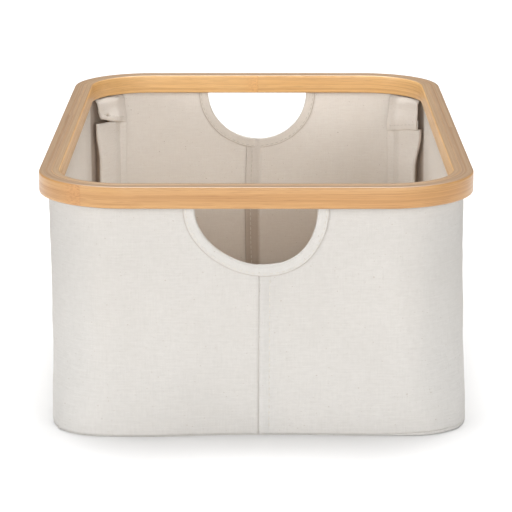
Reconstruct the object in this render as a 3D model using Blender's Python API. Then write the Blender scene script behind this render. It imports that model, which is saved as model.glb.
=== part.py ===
"""Fabric storage bin: a canvas bag hung from a bent bamboo rim.

Units are metres and +Z is up.  The bin stands on the XY plane with the middle
of its footprint at the origin.  X runs across the short ends, Y along the long
sides, and the front end is at -Y.
"""
import math

import bmesh
import bpy

# ---------------------------------------------------------------- dimensions
HEIGHT = 0.175            # floor to the top of the rim
RIM_W = 0.300             # rim, outside, across
RIM_D = 0.455             # rim, outside, along
RIM_R = 0.062             # rim corner radius, outside
RIM_H = 0.015             # rim height
HOOP_T = 0.0052           # thickness of the outer and of the inner hoop
CORE_T = 0.0034           # thickness of the strip between the two hoops
GROOVE_H = 0.005          # depth of the slot left under that strip
EDGE_R = 0.0013           # rounding of the rim's long edges
GAP = 0.0003              # clearance kept between pieces that touch

CANVAS = 0.001            # thickness of the canvas
WALL_INSET = 0.0065       # rim's outer face to the bag's outer face
HEM_UP = 0.0042           # how far the bag's hem reaches up into the slot
SEAM_X = 0.0025           # where the end seams stand, right of the middle
SEAM_LAP = 0.012          # width of the lapped seam allowance
SEAM_JOG = 0.0018         # length over which the allowance steps inward

HOLE_HALF_W = 0.0421      # hand hole, clear half width at the rim
HOLE_DEPTH = 0.0393       # hand hole, clear depth below the rim
TAPE_W = 0.0084           # visible width of the tape that binds the hole
TAPE_T = 0.0006           # thickness of the tape

STRUT_D = 0.006           # corner strut diameter
STRUT_TOP = 0.147         # height of the strut's upper end
STRUT_R = 0.0496          # strut's distance from the centre of its corner
SLEEVE_Z = (0.012, 0.140)     # lower and upper end of a corner sleeve

FLAP_FACING = 37.0        # direction a corner flap faces, from the width axis
FLAP_W = 0.030            # corner flap width
FLAP_LOW = 0.1310         # height of a flap's free edge
FLAP_ROOT_Z = 0.1586      # height of its sewn edge, just under the rim
FLAP_ROOT_R = 0.0483      # sewn edge's distance from the centre of the corner
FLAP_HANG_R = 0.0421      # hanging part's distance from the centre of the corner

BOARD_HALF_W = 0.1345     # base board with its cover, half width
BOARD_HALF_D = 0.2120     # base board with its cover, half depth
BOARD_R = 0.065           # corner radius that clears the corner sleeves
BOARD_T = 0.003           # bare board
COVER_T = 0.0008          # cloth glued over the board
COVER_TURN = 0.015        # how far the cloth turns under the board

ARC_STEPS = 10            # straight pieces in each quarter bend

RIM_Z0 = HEIGHT - RIM_H
RIM_T = 2 * HOOP_T + CORE_T + 2 * GAP
CORNER_X = RIM_W / 2 - RIM_R          # centre of a corner's bends
CORNER_Y = RIM_D / 2 - RIM_R
BAG_HALF_W = RIM_W / 2 - WALL_INSET
BAG_HALF_D = RIM_D / 2 - WALL_INSET
BAG_R = RIM_R - WALL_INSET
WALL_IN_R = BAG_R - CANVAS            # corner radius of the bag's inner face
FLOOR_TOP = CANVAS

# ------------------------------------------------------------------ materials
COLOURS = {
    "bamboo": ((0.72, 0.43, 0.19, 1), 0.38),
    "canvas": ((0.76, 0.72, 0.67, 1), 0.92),
    "binding": ((0.75, 0.70, 0.64, 1), 0.90),
    "strut_wood": ((0.60, 0.42, 0.24, 1), 0.60),
    "fibreboard": ((0.30, 0.20, 0.12, 1), 0.80),
}


def material(name):
    mat = bpy.data.materials.get(name)
    if mat is None:
        mat = bpy.data.materials.new(name)
        mat.use_nodes = True
        colour, rough = COLOURS[name]
        shader = mat.node_tree.nodes["Principled BSDF"]
        shader.inputs["Base Color"].default_value = colour
        shader.inputs["Roughness"].default_value = rough
        shader.inputs["Metallic"].default_value = 0.0
        mat.diffuse_color = colour
    return mat


# ------------------------------------------------------------------- helpers
def start():
    for obj in list(bpy.data.objects):
        bpy.data.objects.remove(obj, do_unlink=True)


def add_object(name, bm, mat, parent=None, location=(0, 0, 0), smooth=35.0):
    bmesh.ops.recalc_face_normals(bm, faces=bm.faces[:])
    mesh = bpy.data.meshes.new(name)
    bm.to_mesh(mesh)
    bm.free()
    mesh.materials.append(material(mat))
    mesh.shade_smooth()
    mesh.set_sharp_from_angle(angle=math.radians(smooth))
    obj = bpy.data.objects.new(name, mesh)
    bpy.context.scene.collection.objects.link(obj)
    obj.location = location
    obj.parent = parent
    return obj


def add_empty(name, location):
    empty = bpy.data.objects.new(name, None)
    empty.empty_display_size = 0.01
    empty.location = location
    bpy.context.scene.collection.objects.link(empty)
    return empty


def rounded_rect(half_w, half_d, radius, steps=ARC_STEPS):
    """Corner points of a rounded rectangle, anticlockwise, as (x, y)."""
    pts = []
    for quarter, (sx, sy) in enumerate(((1, 1), (-1, 1), (-1, -1), (1, -1))):
        cx, cy = sx * (half_w - radius), sy * (half_d - radius)
        for k in range(steps + 1):
            a = math.radians(90 * (quarter + k / steps))
            pts.append((cx + radius * math.cos(a), cy + radius * math.sin(a)))
    return pts


def skin_loops(bm, loops, close_profile):
    """Join loops of vertices, each to the next, with quads."""
    n = len(loops[0])
    pairs = list(zip(loops, loops[1:]))
    if close_profile:
        pairs.append((loops[-1], loops[0]))
    for a, b in pairs:
        for i in range(n):
            j = (i + 1) % n
            bm.faces.new((a[i], a[j], b[j], b[i]))


def hoop(name, outer_inset, inner_inset, z0, z1, mat, round_outer, round_inner):
    """A bent strip that follows the rim, between two insets from its outside."""
    section = []

    def corner(inset, z, cx, cz, rounded):
        if not rounded:
            section.append((inset, z))
            return
        mid_i = inset + cx * EDGE_R
        mid_z = z + cz * EDGE_R
        start_a = math.atan2(0.0 if cz * cx < 0 else -cz, -cx if cz * cx < 0 else 0.0)
        for k in range(3):
            a = start_a + math.radians(45 * k)
            section.append((mid_i + EDGE_R * math.cos(a), mid_z + EDGE_R * math.sin(a)))

    corner(outer_inset, z0, 1, 1, round_outer)
    corner(inner_inset, z0, -1, 1, round_inner)
    corner(inner_inset, z1, -1, -1, round_inner)
    corner(outer_inset, z1, 1, -1, round_outer)
    bm = bmesh.new()
    loops = []
    for inset, z in section:
        outline = rounded_rect(RIM_W / 2 - inset, RIM_D / 2 - inset, RIM_R - inset)
        loops.append([bm.verts.new((x, y, z)) for x, y in outline])
    skin_loops(bm, loops, close_profile=True)
    return add_object(name, bm, mat)


def offset_path(path, half):
    """Left and right copies of an open plan path, half a thickness away."""
    left, right = [], []
    for i, (x, y) in enumerate(path):
        ax, ay = path[max(i - 1, 0)]
        bx, by = path[min(i + 1, len(path) - 1)]
        before = math.atan2(y - ay, x - ax) if i else math.atan2(by - y, bx - x)
        after = math.atan2(by - y, bx - x) if i < len(path) - 1 else before
        turn = (after - before + math.pi) % (2 * math.pi) - math.pi
        heading = before + turn / 2
        reach = half / max(math.cos(turn / 2), 0.5)
        nx, ny = -math.sin(heading), math.cos(heading)
        left.append((x + nx * reach, y + ny * reach))
        right.append((x - nx * reach, y - ny * reach))
    return left, right


def ribbon(bm, path, thickness, z0, z1):
    """An upright band of cloth that follows an open plan path."""
    left, right = offset_path(path, thickness / 2)
    rows = [[bm.verts.new((x, y, z)) for x, y in side]
            for side in (left, right) for z in (z0, z1)]
    left_low, left_high, right_low, right_high = rows
    n = len(path)
    for i in range(n - 1):
        for a, b in ((left_low, left_high), (left_high, right_high),
                     (right_high, right_low), (right_low, left_low)):
            bm.faces.new((a[i], a[i + 1], b[i + 1], b[i]))
    for i in (0, n - 1):
        bm.faces.new((left_low[i], left_high[i], right_high[i], right_low[i]))


def arc(cx, cy, radius, a0, a1, steps):
    """Points along an arc, in degrees, both ends included."""
    return [(cx + radius * math.cos(math.radians(a0 + (a1 - a0) * k / steps)),
             cy + radius * math.sin(math.radians(a0 + (a1 - a0) * k / steps)))
            for k in range(steps + 1)]


# ----------------------------------------------------------------------- rim
def build_rim():
    core_out = HOOP_T + GAP
    inner_out = core_out + CORE_T + GAP
    hoop("rim_outer_hoop", 0.0, HOOP_T, RIM_Z0, HEIGHT, "bamboo", True, False)
    hoop("rim_core_strip", core_out, core_out + CORE_T, RIM_Z0 + GROOVE_H, HEIGHT - GAP,
         "bamboo", False, False)
    hoop("rim_inner_hoop", inner_out, RIM_T, RIM_Z0, HEIGHT, "bamboo", False, True)


# --------------------------------------------------------------- canvas walls
def wall_path(side):
    """Plan path of one wall panel's middle line, from one end seam to the other.

    side is -1 for the panel on the left and 1 for the one on the right.  The
    panel starts at its lapped end, which steps in behind its neighbour, runs
    out to its long side and comes back to the other seam, where it lies
    outside its neighbour's lap.  The left panel starts at the front, and the
    right one at the back.
    """
    mid_w = BAG_HALF_W - CANVAS / 2
    mid_d = BAG_HALF_D - CANVAS / 2
    mid_r = BAG_R - CANVAS / 2
    step = CANVAS + GAP
    seam = side * SEAM_X
    path = [(seam - SEAM_LAP, mid_d - step), (seam + 2 * GAP, mid_d - step),
            (seam + 2 * GAP + SEAM_JOG, mid_d)]
    path += arc(mid_w - mid_r, mid_d - mid_r, mid_r, 90, 0, ARC_STEPS)
    path += arc(mid_w - mid_r, mid_r - mid_d, mid_r, 0, -90, ARC_STEPS)
    path += [(seam, -mid_d)]
    return [(side * x, side * y) for x, y in path]


def build_walls():
    cutter_bm = bmesh.new()
    steps = 32
    for y in (-RIM_D, RIM_D):
        ring = []
        for k in range(steps):
            a = 2 * math.pi * k / steps
            ring.append(cutter_bm.verts.new((
                (HOLE_HALF_W + TAPE_T + GAP) * math.cos(a), y,
                RIM_Z0 + (HOLE_DEPTH + TAPE_T + GAP) * math.sin(a))))
        cutter_bm.faces.new(ring)
    cutter_bm.verts.ensure_lookup_table()
    v = cutter_bm.verts
    for k in range(steps):
        j = (k + 1) % steps
        cutter_bm.faces.new((v[k], v[j], v[steps + j], v[steps + k]))
    cutter = add_object("hand_hole_cutter", cutter_bm, "canvas")
    cutter.hide_render = True
    cutter.display_type = "WIRE"
    for name, side in (("left_wall_panel", -1), ("right_wall_panel", 1)):
        bm = bmesh.new()
        ribbon(bm, wall_path(side), CANVAS, FLOOR_TOP + GAP, RIM_Z0 + HEM_UP)
        wall = add_object(name, bm, "canvas")
        cut = wall.modifiers.new("hand_holes", "BOOLEAN")
        cut.operation = "DIFFERENCE"
        cut.solver = "EXACT"
        cut.object = cutter


def build_bottom():
    bm = bmesh.new()
    outline = rounded_rect(BAG_HALF_W, BAG_HALF_D, BAG_R)
    low = [bm.verts.new((x, y, 0)) for x, y in outline]
    high = [bm.verts.new((x, y, CANVAS)) for x, y in outline]
    skin_loops(bm, [low, high], close_profile=False)
    bm.faces.new(low)
    bm.faces.new(high)
    add_object("bottom_panel", bm, "canvas")


# ---------------------------------------------------------- hand hole binding
def build_bindings():
    """Tape folded over the cut edge of each hand hole, from rim to rim."""
    steps = 26
    leaf_out = GAP + TAPE_T
    stack = CANVAS + GAP + CANVAS
    for name, sy in (("front_hole_binding", -1), ("back_hole_binding", 1)):
        face = BAG_HALF_D
        outside = (face + GAP, face + leaf_out)
        inside = (face - stack - GAP, face - stack - leaf_out)
        # (distance out from the clear hole, distance of the face from the middle)
        section = [(TAPE_W, outside[1]), (0.0, outside[1]), (0.0, inside[1]),
                   (TAPE_W, inside[1]), (TAPE_W, inside[0]), (TAPE_T, inside[0]),
                   (TAPE_T, outside[0]), (TAPE_W, outside[0])]
        bm = bmesh.new()
        rows = []
        top = RIM_Z0 - GAP
        for k in range(steps + 1):
            a = math.pi * (1 + k / steps)
            row = []
            for out, y in section:
                x = (HOLE_HALF_W + out) * math.cos(a)
                z = top + (HOLE_DEPTH - GAP + out) * math.sin(a)
                row.append(bm.verts.new((x, sy * y, z)))
            rows.append(row)
        n = len(section)
        for a, b in zip(rows, rows[1:]):
            for i in range(n):
                j = (i + 1) % n
                bm.faces.new((a[i], a[j], b[j], b[i]))
        for row in (rows[0], rows[-1]):
            outer_leaf = (row[0], row[1], row[6], row[7])
            web = (row[1], row[2], row[5], row[6])
            inner_leaf = (row[2], row[3], row[4], row[5])
            for quad in (outer_leaf, web, inner_leaf):
                bm.faces.new(quad)
        add_object(name, bm, "binding")


# ------------------------------------------------------------ corner supports
def strut_centre():
    return (STRUT_R * math.cos(math.radians(45)), STRUT_R * math.sin(math.radians(45)))


def polar(radius, degrees):
    a = math.radians(degrees)
    return (radius * math.cos(a), radius * math.sin(a))


def over_strut(start, end, reach, steps=1):
    """A band from start to end that bends round the inner side of the strut."""
    sx, sy = strut_centre()
    inward = 225.0

    def tangent(point):
        dx, dy = point[0] - sx, point[1] - sy
        middle = math.degrees(math.atan2(dy, dx))
        spread = math.degrees(math.acos(reach / math.hypot(dx, dy)))
        both = [(middle + spread) % 360, (middle - spread) % 360]
        return min(both, key=lambda a: abs(a - inward))

    return [start] + arc(sx, sy, reach, tangent(start), tangent(end), steps) + [end]


def sleeve_path():
    """A flattened tube: its two layers are sewn to the wall near the end seam."""
    half = CANVAS / 2
    on_wall = WALL_IN_R - GAP - half
    inner_tail = on_wall - CANVAS - GAP - 0.0001
    path = arc(0, 0, on_wall, 64, 29, 6)
    fold_x, fold_y, fold_r = 0.0462, 0.0190, 0.0013
    path += arc(fold_x, fold_y, fold_r, 0, -180, 6)
    path += over_strut((fold_x - fold_r, fold_y + 0.0009), polar(inner_tail, 57),
                       STRUT_D / 2 + GAP + half)[1:]
    path += [polar(inner_tail, 64)]
    return path


def flap_profile():
    """Side view of a flap as (distance inward from its sewn edge, height above it).

    It leans inward over the strut's end and then hangs straight down.
    """
    inward = FLAP_ROOT_R - FLAP_HANG_R
    shoulder = STRUT_TOP - 0.0015 - FLAP_ROOT_Z
    points = [(inward * math.sin(math.pi / 2 * k / 6), shoulder * k / 6) for k in range(7)]
    return points + [(inward, FLAP_LOW - FLAP_ROOT_Z)]


def build_corner(label, sx, sy):
    """Strut, sleeve and flap of one corner, about the centre of its bends."""
    pivot = add_empty("corner_" + label, (sx * CORNER_X, sy * CORNER_Y, 0))

    def place(path):
        return [(sx * x, sy * y) for x, y in path]

    bm = bmesh.new()
    cx, cy = strut_centre()
    bevel = 0.0008
    rings = []
    for z, r in ((FLOOR_TOP + GAP, STRUT_D / 2 - bevel),
                 (FLOOR_TOP + GAP + bevel, STRUT_D / 2),
                 (STRUT_TOP - bevel, STRUT_D / 2), (STRUT_TOP, STRUT_D / 2 - bevel)):
        rings.append([bm.verts.new((r * math.cos(a), r * math.sin(a), z))
                      for a in (2 * math.pi * k / 16 for k in range(16))])
    skin_loops(bm, rings, close_profile=False)
    bm.faces.new(rings[0])
    bm.faces.new(rings[-1])
    add_object("strut_" + label, bm, "strut_wood", pivot, (sx * cx, sy * cy, 0))

    bm = bmesh.new()
    ribbon(bm, place(sleeve_path()), CANVAS, *SLEEVE_Z)
    add_object("sleeve_" + label, bm, "canvas", pivot)

    facing = (sx * math.cos(math.radians(FLAP_FACING)), sy * math.sin(math.radians(FLAP_FACING)))
    across = (-sx * math.sin(math.radians(FLAP_FACING)), sy * math.cos(math.radians(FLAP_FACING)))
    root = (sx * CORNER_X + FLAP_ROOT_R * facing[0], sy * CORNER_Y + FLAP_ROOT_R * facing[1],
            FLAP_ROOT_Z)
    hinge = add_empty("flap_hinge_" + label, root)
    bm = bmesh.new()
    rows = []
    for inward, z in flap_profile():
        rows.append([bm.verts.new((across[0] * w - facing[0] * inward,
                                   across[1] * w - facing[1] * inward, z))
                     for w in (-FLAP_W / 2, 0, FLAP_W / 2)])
    for upper, lower in zip(rows, rows[1:]):
        for i in range(2):
            bm.faces.new((upper[i], upper[i + 1], lower[i + 1], lower[i]))
    flap = add_object("strut_flap_" + label, bm, "canvas", hinge)
    thick = flap.modifiers.new("cloth", "SOLIDIFY")
    thick.thickness = CANVAS
    thick.offset = 0.0
    thick.use_even_offset = True


# ----------------------------------------------------------------- base board
def build_board():
    lift = add_empty("base_board_lift", (0, 0, FLOOR_TOP + GAP))
    total = BOARD_T + 2 * (COVER_T + GAP)

    def loop(bm, inset, z):
        outline = rounded_rect(BOARD_HALF_W - inset, BOARD_HALF_D - inset,
                               BOARD_R - inset)
        return [bm.verts.new((x, y, z)) for x, y in outline]

    bm = bmesh.new()
    inset = COVER_T + GAP
    low = loop(bm, inset, COVER_T + GAP)
    high = loop(bm, inset, COVER_T + GAP + BOARD_T)
    skin_loops(bm, [low, high], close_profile=False)
    bm.faces.new(low)
    bm.faces.new(high)
    add_object("base_board", bm, "fibreboard", lift)

    bm = bmesh.new()
    loops = [loop(bm, 0.0012, total), loop(bm, 0.0, total - 0.0012), loop(bm, 0.0, 0.0008),
             loop(bm, 0.0008, 0.0), loop(bm, COVER_TURN, 0.0),
             loop(bm, COVER_TURN, COVER_T), loop(bm, COVER_T, COVER_T),
             loop(bm, COVER_T, total - COVER_T)]
    skin_loops(bm, loops, close_profile=False)
    bm.faces.new(loops[0])
    bm.faces.new(loops[-1])
    add_object("base_board_cover", bm, "canvas", lift)


def main():
    start()
    build_rim()
    build_walls()
    build_bottom()
    build_bindings()
    for label, sx, sy in (("front_left", -1, -1), ("front_right", 1, -1),
                          ("back_left", -1, 1), ("back_right", 1, 1)):
        build_corner(label, sx, sy)
    build_board()


main()
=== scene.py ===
"""Looks of the fabric storage bin: a canvas bag hung from a bent bamboo rim.

Units are metres in the row frame: X across the short ends, Y along the long
sides, +Z up, and the front end at -Y.  Millimetre values are written with MM.
"""
from math import acos, atan2, cos, degrees, pi, radians, sin

import bmesh
import bpy
import numpy as np
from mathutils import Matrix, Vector, noise


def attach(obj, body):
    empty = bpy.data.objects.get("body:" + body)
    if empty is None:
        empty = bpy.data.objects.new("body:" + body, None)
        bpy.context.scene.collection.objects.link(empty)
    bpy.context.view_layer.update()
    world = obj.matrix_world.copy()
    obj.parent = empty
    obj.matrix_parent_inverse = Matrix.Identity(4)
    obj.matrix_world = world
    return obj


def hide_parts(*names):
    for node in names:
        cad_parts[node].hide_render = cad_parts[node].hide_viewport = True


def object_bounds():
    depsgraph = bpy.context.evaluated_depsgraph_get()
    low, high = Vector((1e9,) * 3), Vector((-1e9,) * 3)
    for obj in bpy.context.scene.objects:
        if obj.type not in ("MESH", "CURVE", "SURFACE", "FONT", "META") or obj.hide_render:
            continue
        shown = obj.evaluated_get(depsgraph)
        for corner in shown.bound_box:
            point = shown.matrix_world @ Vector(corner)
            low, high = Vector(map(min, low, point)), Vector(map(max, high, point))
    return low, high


MM = 0.001
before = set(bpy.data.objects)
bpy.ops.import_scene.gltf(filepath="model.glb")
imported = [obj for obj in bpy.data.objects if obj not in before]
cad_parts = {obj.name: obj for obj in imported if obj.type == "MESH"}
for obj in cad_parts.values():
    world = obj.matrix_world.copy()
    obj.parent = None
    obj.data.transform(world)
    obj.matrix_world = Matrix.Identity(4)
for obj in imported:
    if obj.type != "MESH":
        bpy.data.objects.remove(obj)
cad_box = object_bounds()

# ---------- sizes
HALF_W, HALF_D, RIM_TOP = (round(c, 4) for c in cad_box[1])
RIM_R, RIM_H, RIM_T = 62 * MM, 15 * MM, 14.4 * MM  # bend radius, height and thickness
RIM_LOW = RIM_TOP - RIM_H
RIM = dict(half_w=HALF_W, half_d=HALF_D, r=RIM_R)
PLY_1, PLY_2 = 5.35 * MM, 9.05 * MM  # glue lines, from the rim's outer face
SLOT = 6.5 * MM  # from the rim's outer face to the bag's
BAG = dict(half_w=HALF_W - SLOT, half_d=HALF_D - SLOT, r=RIM_R - SLOT)
CORNER = np.array((HALF_W - RIM_R, HALF_D - RIM_R))  # centre of a corner's bends
LOW_BEND = {(-1, -1): 35 * MM, (1, -1): 37 * MM, (-1, 1): 42 * MM, (1, 1): 44 * MM}  # at the floor
BEND_MIN = 55.2 * MM  # least radius of the walls' face in a bend
CANVAS = 1 * MM
FOOT = 1 * MM  # height of the walls' lower edge
HEM_TOP = RIM_LOW + 4.2 * MM  # the walls' upper edge, in the rim
SEAM_X = 2.5 * MM  # end seams' distance from the middle
TOPSTITCH = 7.1 * MM  # from a seam's edge to its stitches
LAP = 12 * MM
STITCH_PITCH = 4.2 * MM
HOLE_W, HOLE_D = 40.8 * MM, 39.6 * MM  # a hand hole's half width and its depth
HOLE_LEAN_FRONT, HOLE_LEAN_BACK = 6 * MM, 0.6 * MM  # how far its lowest point is off the middle
TAPE_W, TAPE = 8.4 * MM, 0.62 * MM
STRUT_R, STRUT_D, STRUT_TOP = 49.6 * MM, 6 * MM, 0.147
CORNERS = {"front_left": (-1, -1), "front_right": (1, -1), "back_left": (-1, 1), "back_right": (1, 1)}


# ---------- mesh helpers
def add_object(name, data):
    obj = bpy.data.objects.new(name, data)
    bpy.context.scene.collection.objects.link(obj)
    return obj


def raw_mesh(name, verts, faces, coords, mats, sharp=None):
    """A mesh from arrays.  coords holds one vector per face corner, read by the shaders as "cloth"."""
    mesh = bpy.data.meshes.new(name)
    mesh.from_pydata(np.asarray(verts).tolist(), [], faces)
    attribute = mesh.attributes.new("cloth", "FLOAT_VECTOR", "CORNER")
    attribute.data.foreach_set("vector", np.asarray(coords, np.float32).ravel())
    mesh.shade_smooth()
    if sharp:
        mesh.set_sharp_from_angle(angle=radians(sharp))
    mesh.update()
    for mat in mats:
        mesh.materials.append(mat)
    return add_object(name, mesh)


def grid(name, points, coords, mats, close_u=False, close_v=False, caps=False, sharp=None, flip=False):
    """A grid of quads over points[u, v].  coords may be one longer where the grid closes on itself.

    caps closes both ends of a flipped grid with one face each.
    """
    (nu, nv), (cu, cv) = points.shape[:2], coords.shape[:2]
    i, j = np.indices((nu - (not close_u), nv - (not close_v))).reshape(2, -1)
    ring = [(i, j), (i + 1, j), (i + 1, j + 1), (i, j + 1)]
    if flip:
        ring = ring[::-1]
    faces = np.stack([(a % nu) * nv + b % nv for a, b in ring], 1).tolist()
    corners = [np.stack([coords[a % cu, b % cv] for a, b in ring], 1).reshape(-1, 3)]
    if caps:
        faces += [list(range(nv)), list(range(nu * nv - 1, (nu - 1) * nv - 1, -1))]
        corners += [coords[0, :nv], coords[nu - 1, :nv][::-1]]
    return raw_mesh(name, points.reshape(-1, 3), faces, np.concatenate(corners), mats, sharp=sharp)


def thicken(obj, thickness, offset, back=0):
    """Gives a sheet its thickness: inwards for an offset of -1, both ways for 0.

    back counts on from the face's material to that of the other side.
    """
    mod = obj.modifiers.new("thickness", "SOLIDIFY")
    mod.thickness, mod.offset, mod.use_even_offset = thickness, offset, True
    mod.material_offset = back


def fit(obj, body, node):
    """Puts a piece on its body, in place of a CAD node."""
    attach(obj, body)
    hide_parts(node)


def tone(obj, values, name="shade"):
    """Gives every point of a grid a darkening tone, mostly painted shade, from 0 for none to 1 for the
    darkest.
    """
    attribute = obj.data.attributes.new(name, "FLOAT", "POINT")
    attribute.data.foreach_set("value", np.ascontiguousarray(values, np.float32).ravel())


def ease(x, low, high):
    t = np.clip((x - low) / (high - low), 0, 1)
    return t * t * (3 - 2 * t)


def bump(x, middle, width):
    """A smooth hill of height 1."""
    return np.exp(-((x - middle) / width) ** 2)


def wander(values, scale, seed):
    """Smooth noise from -1 to 1 over the rows of values, which are points or single numbers."""
    values = np.atleast_2d(np.asarray(values, float).T).T
    out = np.empty(len(values))
    for k, row in enumerate(values):
        p = Vector((row[0] * scale, (row[1] if len(row) > 1 else 0) * scale, seed * 7.31))
        out[k] = noise.fractal(p, 0.6, 2.1, 2)
    return out


def path_lengths(path):
    """Length along a path at each of its points."""
    return np.concatenate([[0], np.cumsum(np.linalg.norm(np.diff(path, axis=0), axis=1))])


def along_path(path, lengths, at):
    """Points of a path at some lengths along it."""
    return np.stack([np.interp(at, lengths, column) for column in path.T], 1)


def directions(path):
    tangent = np.gradient(path, axis=0)
    return tangent / np.linalg.norm(tangent, axis=1, keepdims=True)


def legs(half_w, half_d, r):
    """Lengths of a rounded rectangle's straight stretches and bends in turn, from its front middle."""
    a, b, q = half_w - r, half_d - r, pi / 2 * r
    return [a, q, 2 * b, q, 2 * a, q, 2 * b, q, a]


def outline(s, half_w, half_d, r):
    """Points and outward normals at arc lengths s of a rounded rectangle, from its front middle."""
    a, b = half_w - r, half_d - r
    ends = np.cumsum([0] + legs(half_w, half_d, r))
    s = np.mod(s, ends[-1])
    k = np.clip(np.searchsorted(ends, s, side="right") - 1, 0, 8)
    t = s - ends[k]
    start = np.array([(0, -half_d), (a, -half_d), (half_w, -b), (half_w, b), (a, half_d), (-a, half_d),
                      (-half_w, b), (-half_w, -b), (-a, -half_d)])[k]
    heading = k // 2 * (pi / 2)
    bend = k % 2 == 1
    angle = heading + np.where(bend, t / r, 0)
    left = np.stack([-np.sin(heading), np.cos(heading)], 1)
    normal = np.stack([np.sin(angle), -np.cos(angle)], 1)
    straight = start + np.stack([np.cos(heading), np.sin(heading)], 1) * t[:, None]
    return np.where(bend[:, None], start + left * r + normal * r, straight), normal


def ring_stops(half_w, half_d, r, bend_steps, straight_step):
    """Arc lengths round a rounded rectangle, closer together in its bends."""
    stops, at = [], 0.0
    for k, length in enumerate(legs(half_w, half_d, r)):
        n = bend_steps if k % 2 else max(1, round(length / straight_step))
        stops += [at + length * i / n for i in range(n)]
        at += length
    return np.array(stops)


RIM_LEN, BAG_LEN = sum(legs(**RIM)), sum(legs(**BAG))


# ---------- node helpers
class Shader:
    """A node material written as short expressions.  Numbers, colours and sockets mix freely."""

    def __init__(self, name):
        self.mat = bpy.data.materials.new(name)
        self.mat.use_nodes = True
        self.tree = self.mat.node_tree
        self.bsdf = self.tree.nodes["Principled BSDF"]
        self.out = self.tree.nodes["Material Output"]
        self.where = self.attribute("cloth", "Vector")

    def node(self, kind, inputs=(), **settings):
        node = self.tree.nodes.new(kind)
        for key, value in settings.items():
            setattr(node, key, value)
        for key, value in dict(inputs).items():
            self.put(value, node.inputs[key])
        return node

    def put(self, value, socket):
        if isinstance(value, bpy.types.NodeSocket):
            self.tree.links.new(value, socket)
        elif socket.type == "RGBA":
            socket.default_value = (*value, 1)
        else:
            socket.default_value = value

    def math(self, op, a, b=0.0):
        return self.node("ShaderNodeMath", {0: a, 1: b}, operation=op).outputs[0]

    def add(self, a, b):
        return self.math("ADD", a, b)

    def mul(self, a, b):
        return self.math("MULTIPLY", a, b)

    def attribute(self, name, output):
        return self.node("ShaderNodeAttribute", attribute_name=name).outputs[output]

    def split(self, vector):
        return self.node("ShaderNodeSeparateXYZ", {0: vector}).outputs

    def noise(self, vector, scale=1.0, detail=2.0, rough=0.5):
        return self.node("ShaderNodeTexNoise", {"Vector": vector, "Scale": scale, "Detail": detail,
                                                "Roughness": rough}).outputs["Fac"]

    def grain(self, vector, x, y, z, detail=2.0, rough=0.5):
        """Noise with its own scale along each axis."""
        scaled = self.node("ShaderNodeVectorMath", {0: vector, 1: (x, y, z)}, operation="MULTIPLY")
        return self.noise(scaled.outputs[0], 1, detail, rough)

    def waver(self, reach, x, y, z, detail=2.0):
        """Noise round zero, up to half the reach either way."""
        return self.mul(self.add(self.grain(self.where, x, y, z, detail), -0.5), reach)

    def ramp(self, value, low, high, to_low=0.0, to_high=1.0, smooth=False):
        return self.node("ShaderNodeMapRange", {0: value, 1: low, 2: high, 3: to_low, 4: to_high},
                         interpolation_type="SMOOTHSTEP" if smooth else "LINEAR", clamp=True).outputs[0]

    def mix(self, fac, a, b, blend="MIX"):
        node = self.node("ShaderNodeMix", data_type="RGBA", blend_type=blend)
        self.put(fac, node.inputs[0])
        self.put(a, node.inputs[6])
        self.put(b, node.inputs[7])
        return node.outputs[2]

    def layer(self, colour, *layers):
        """Lays colours over a colour, each given as (amount, colour)."""
        for amount, over in layers:
            colour = self.mix(amount, colour, over)
        return colour

    def relief(self, height, distance, strength=1.0, under=None):
        node = self.node("ShaderNodeBump", {"Height": height, "Distance": distance, "Strength": strength})
        if under is not None:
            self.put(under, node.inputs["Normal"])
        return node.outputs[0]

    def finish(self, **sockets):
        for key, value in sockets.items():
            self.put(value, self.bsdf.inputs[key.replace("_", " ")])
        return self.mat


# ---------- materials
HUSK = (0.3, 0.19, 0.1)
# colours of painted shade, each laid on by the tone of the same name
TONES = {"shade": (0.34, 0.235, 0.155), "crease_shade": (0.3, 0.185, 0.105), "upper": (0.34, 0.3, 0.26)}
THROUGH, THROUGH_TINT = 0.15, (1.0, 0.9, 0.79)  # share and colour of light let through


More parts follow.
